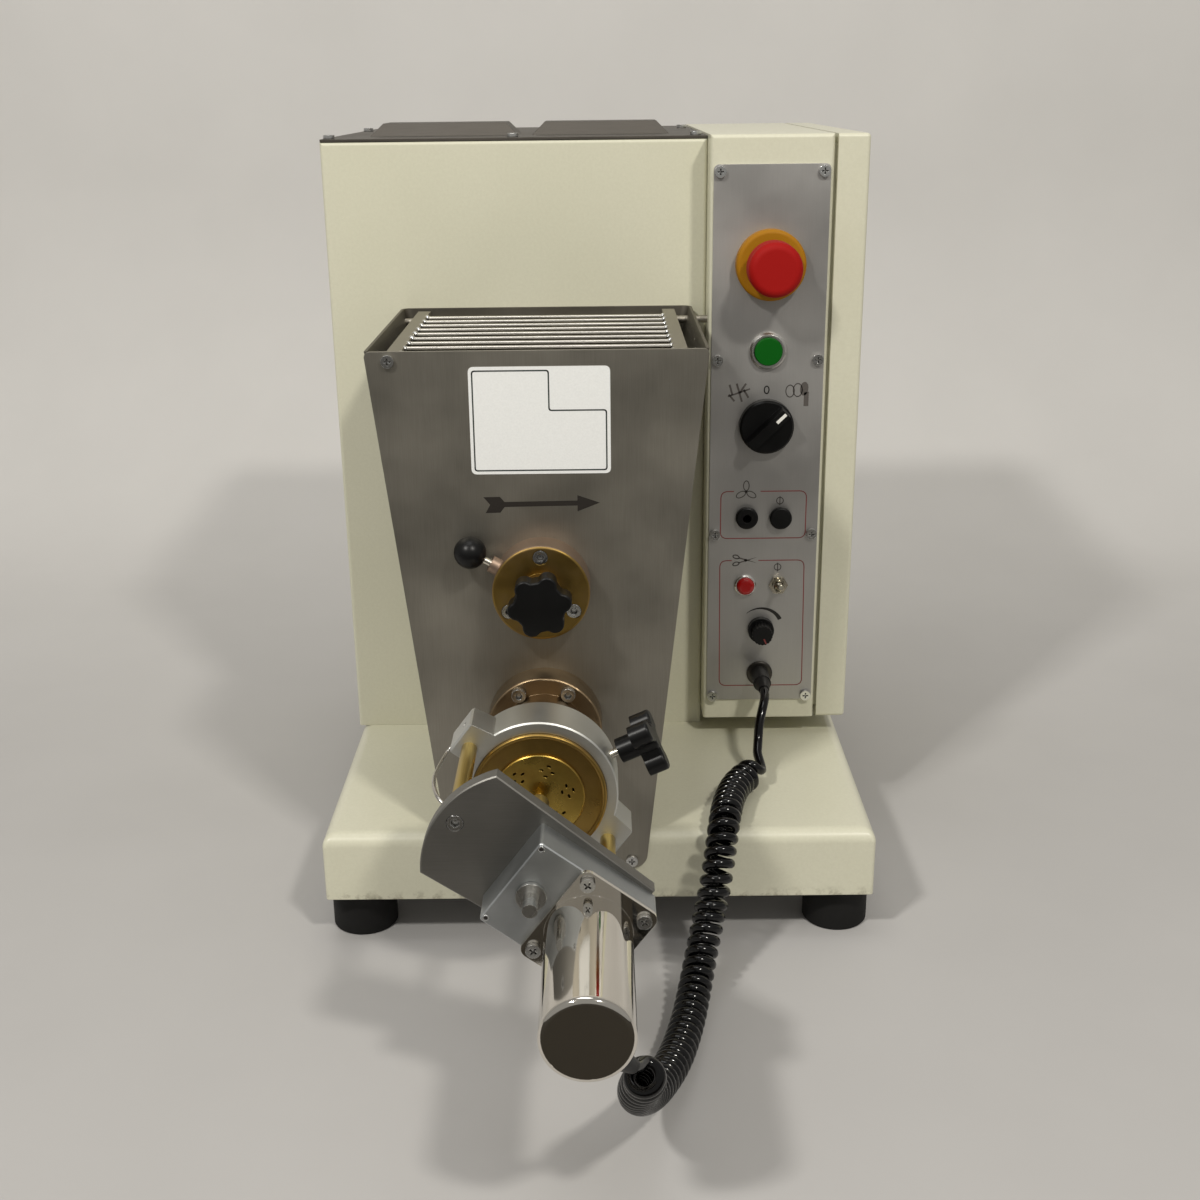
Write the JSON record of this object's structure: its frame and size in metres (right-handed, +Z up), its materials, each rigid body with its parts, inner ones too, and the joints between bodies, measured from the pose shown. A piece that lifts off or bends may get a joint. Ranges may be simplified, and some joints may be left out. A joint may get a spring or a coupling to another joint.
{
  "type": "electric pasta maker",
  "caption": "Bench-top electric pasta maker: sheet-metal cabinet with control column, mixing hopper with wire lid, screw extruder with die, and a clamped motor cutter on a curly cord.",
  "frame": {"origin": "middle of the machine's box at the level that its feet stand on, measured without the cutter cord", "axes": "+X to the right of someone facing the machine, +Y from the front to the rear, +Z up"},
  "size_m": [0.43, 0.888, 0.6066],
  "materials": {
    "cream_paint": "satin",
    "stainless": "brushed",
    "bright_steel": "bright",
    "gear_steel": "machined",
    "bronze": "turned",
    "brass": "turned",
    "aluminium": "tumbled",
    "zinc_cast": "as cast",
    "chrome": "polished",
    "black_rubber": "matt",
    "black_plastic": "moulded",
    "cord_black": "gloss",
    "red_plastic": "gloss",
    "yellow_plastic": "satin",
    "green_plastic": "gloss",
    "red_lens": "clear",
    "grey_plastic": "moulded",
    "motor_paint": "satin",
    "zinc_plate": "zinc plated"
  },
  "bodies": {
    "root": {"base_pan": "cream_paint", "main_housing": "cream_paint", "rear_cover": "cream_paint", "control_column": "cream_paint", "right_side_panel": "cream_paint", "chassis_plate": "zinc_plate", "rubber_feet": "black_rubber", "top_plate": "stainless", "panel_screws": "bright_steel", "socket_screws": "bright_steel", "control_plate": "stainless", "estop_collar": "yellow_plastic", "start_bezel": "chrome", "contact_blocks": "grey_plastic", "cam_switch": "grey_plastic", "fan_socket": "black_plastic", "lamp_bezel": "chrome", "lamp_lens": "red_lens", "toggle_switch": "bright_steel", "potentiometer": "zinc_plate", "cutter_socket": "bright_steel", "cutter_plug": "black_plastic", "cutter_lead": "cord_black", "cutter_coil": "cord_black", "cord_gland": "black_plastic", "hopper_tub": "stainless", "hopper_front_plate": "stainless", "lid_interlock": "grey_plastic", "mixer_hub": "bronze", "extruder_barrel": "bronze", "die": "bronze", "die_nut": "brass", "clamp_ring": "aluminium", "clamp_spring": "bright_steel", "cutter_standoffs": "brass", "cutter_plate": "aluminium", "cutter_gearbox": "zinc_cast", "motor_cup": "chrome", "cutter_motor": "motor_paint", "drive_motor": "motor_paint", "gear_plate": "zinc_plate", "mains_inlet": "black_plastic"},
    "lid": {"grille_lid": "bright_steel"},
    "mixer": {"mixer_shaft": "bright_steel", "mixer_gear": "gear_steel"},
    "auger_screw": {"auger": "bright_steel", "auger_gear": "gear_steel"},
    "motor_rotor": {"drive_pinion": "gear_steel"},
    "cutter_spindle": {"cutter_blade": "gear_steel"},
    "cutter_rotor": {"cutter_pinion": "gear_steel"},
    "cutter_idler_rotor": {"cutter_idler": "gear_steel"},
    "estop_head": {"estop_mushroom": "red_plastic"},
    "start_plunger": {"start_button": "green_plastic"},
    "fan_plunger": {"fan_button": "black_plastic"},
    "selector": {"selector_knob": "black_plastic"},
    "toggle": {"toggle_lever": "bright_steel"},
    "speed_dial": {"speed_knob": "black_plastic"},
    "star_grip": {"star_knob": "black_plastic"},
    "clamp_grip": {"clamp_knob": "black_plastic"},
    "index_plunger": {"plunger_ball": "black_plastic"}
  },
  "joints": [
    {"name": "lid_hinge", "type": "hinge", "parent": "root", "child": "lid", "pos_m": [-0.0385, 0.112, 0.455], "axis": [-1, 0, 0], "range_deg": [0, 88]},
    {"name": "mixer_spin", "type": "hinge", "parent": "root", "child": "mixer", "pos_m": [-0.0385, 0, 0.297], "axis": [0, 1, 0], "continuous": true},
    {"name": "auger_spin", "type": "hinge", "parent": "root", "child": "auger_screw", "pos_m": [-0.0385, 0, 0.19], "axis": [0, 1, 0], "continuous": true},
    {"name": "drive_spin", "type": "hinge", "parent": "root", "child": "motor_rotor", "pos_m": [-0.0385, 0.17, 0.384], "axis": [0, 1, 0], "continuous": true},
    {"name": "cutter_spin", "type": "hinge", "parent": "root", "child": "cutter_spindle", "pos_m": [-0.0385, -0.3, 0.19], "axis": [0, 1, 0], "continuous": true},
    {"name": "cutter_idler_spin", "type": "hinge", "parent": "root", "child": "cutter_idler_rotor", "pos_m": [-0.02013, -0.33, 0.17616], "axis": [0, 1, 0], "continuous": true},
    {"name": "cutter_motor_spin", "type": "hinge", "parent": "root", "child": "cutter_rotor", "pos_m": [-0.00536, -0.33, 0.16503], "axis": [0, 1, 0], "continuous": true},
    {"name": "estop_press", "type": "slide", "parent": "root", "child": "estop_head", "axis": [0, 1, 0], "range_m": [0, 0.005], "stiffness_N_per_m": 800},
    {"name": "start_press", "type": "slide", "parent": "root", "child": "start_plunger", "axis": [0, 1, 0], "range_m": [0, 0.003], "stiffness_N_per_m": 600},
    {"name": "fan_press", "type": "slide", "parent": "root", "child": "fan_plunger", "axis": [0, 1, 0], "range_m": [0, 0.002], "stiffness_N_per_m": 500},
    {"name": "selector_turn", "type": "hinge", "parent": "root", "child": "selector", "pos_m": [0.1395, 0.09, 0.371], "axis": [0, 1, 0], "range_deg": [-90, 0]},
    {"name": "toggle_rock", "type": "hinge", "parent": "root", "child": "toggle", "pos_m": [0.1535, 0.0885, 0.2335], "axis": [1, 0, 0], "range_deg": [0, 25]},
    {"name": "speed_turn", "type": "hinge", "parent": "root", "child": "speed_dial", "pos_m": [0.1395, 0.09, 0.194], "axis": [0, 1, 0], "range_deg": [-300, 0]},
    {"name": "star_turn", "type": "hinge", "parent": "root", "child": "star_grip", "pos_m": [-0.0385, -0.12, 0.297], "axis": [0, 1, 0], "continuous": true},
    {"name": "clamp_turn", "type": "hinge", "parent": "root", "child": "clamp_grip", "pos_m": [0.02225, -0.193, 0.21705], "axis": [0.9135, 0, 0.4067], "continuous": true},
    {"name": "plunger_pull", "type": "slide", "parent": "root", "child": "index_plunger", "axis": [-0.8704, 0, 0.4924], "range_m": [0, 0.007], "stiffness_N_per_m": 400}
  ],
  "couplings": [
    {"joint": "auger_spin", "follows": "mixer_spin", "ratio": -1.675},
    {"joint": "drive_spin", "follows": "mixer_spin", "ratio": -3.35},
    {"joint": "cutter_idler_spin", "follows": "cutter_spin", "ratio": -1.1905},
    {"joint": "cutter_motor_spin", "follows": "cutter_spin", "ratio": 1.5625}
  ]
}
